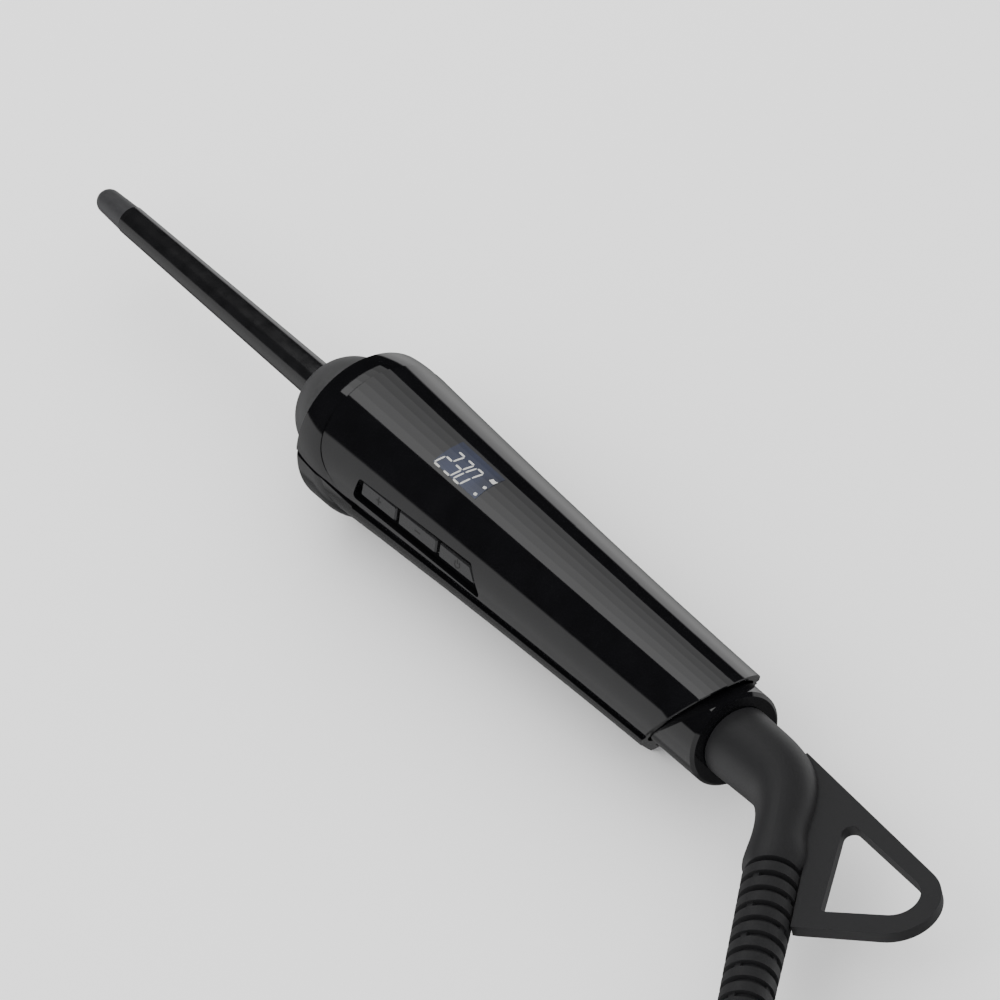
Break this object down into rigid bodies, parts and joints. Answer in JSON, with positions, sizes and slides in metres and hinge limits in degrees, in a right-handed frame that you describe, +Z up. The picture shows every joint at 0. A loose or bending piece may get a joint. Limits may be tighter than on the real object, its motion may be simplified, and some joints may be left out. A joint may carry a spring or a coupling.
{
  "type": "curling wand",
  "caption": "Slim heated curling wand with a tapered handle, display, side buttons, folding stand, swivel cord outlet with a hang loop, and a coiled mains cord.",
  "frame": {"origin": "middle of the flat belly under the handle, which the wand lies on", "axes": "+X along the handle from the barrel towards the cord, +Z up through the display, buttons on the -Y side"},
  "size_m": [0.4587, 0.1299, 0.0414],
  "materials": {
    "tip_plastic": "fine matt",
    "barrel_coating": "gloss",
    "heater_ceramic": "matt",
    "collar_plastic": "satin",
    "holder_plastic": "matt",
    "shell_plastic": "high gloss",
    "stand_plastic": "gloss",
    "steel": "plain",
    "board": "lacquered",
    "component": "matt",
    "white_plastic": "matt",
    "display_glass": "glass-like",
    "key_plastic": "satin",
    "swivel_plastic": "fine matt",
    "brass": "plain",
    "lead_insulation": "matt",
    "relief_rubber": "matt",
    "cord_rubber": "matt"
  },
  "bodies": {
    "root": {"tip_cap": "tip_plastic", "barrel_tube": "barrel_coating", "ceramic_heater": "heater_ceramic", "heater_leads": "lead_insulation", "thermistor": "heater_ceramic", "collar": "collar_plastic", "barrel_holder": "holder_plastic", "front_ring": "shell_plastic", "upper_shell": "shell_plastic", "lower_shell": "shell_plastic", "stand_pin": "steel", "shell_screws": "steel", "main_board": "board", "board_screws": "steel", "board_parts": "component", "display_holder": "white_plastic", "display_panel": "display_glass", "button_bezel": "shell_plastic", "tact_switches": "component", "button_board": "board", "rear_sleeve": "shell_plastic", "contact_block": "white_plastic", "contact_brushes": "brass", "supply_leads": "lead_insulation", "cord_run": "cord_rubber", "cord_coil": "cord_rubber", "cord_tail": "cord_rubber", "plug_body": "cord_rubber", "plug_pins": "brass"},
    "stand": {"stand": "stand_plastic"},
    "button_plus": {"button_plus": "key_plastic"},
    "button_minus": {"button_minus": "key_plastic"},
    "button_power": {"button_power": "key_plastic"},
    "swivel": {"swivel_elbow": "swivel_plastic", "swivel_clip": "steel", "slip_rings": "brass", "swivel_leads": "lead_insulation", "strain_relief": "relief_rubber"}
  },
  "joints": [
    {"name": "swivel_turn", "type": "hinge", "parent": "root", "child": "swivel", "pos_m": [0.078, 0, 0.022], "axis": [-1, 0, 0], "continuous": true},
    {"name": "stand_fold", "type": "hinge", "parent": "root", "child": "stand", "pos_m": [-0.072, 0, 0.0023], "axis": [0, 1, 0], "range_deg": [0, 90]},
    {"name": "button_plus_press", "type": "slide", "parent": "root", "child": "button_plus", "axis": [-0.0395, 0.939, -0.3418], "range_m": [0, 0.0005], "stiffness_N_per_m": 400, "springref_m": -0.0005},
    {"name": "button_minus_press", "type": "slide", "parent": "root", "child": "button_minus", "axis": [-0.0395, 0.939, -0.3418], "range_m": [0, 0.0005], "stiffness_N_per_m": 400, "springref_m": -0.0005},
    {"name": "button_power_press", "type": "slide", "parent": "root", "child": "button_power", "axis": [-0.0395, 0.939, -0.3418], "range_m": [0, 0.0005], "stiffness_N_per_m": 400, "springref_m": -0.0005}
  ]
}
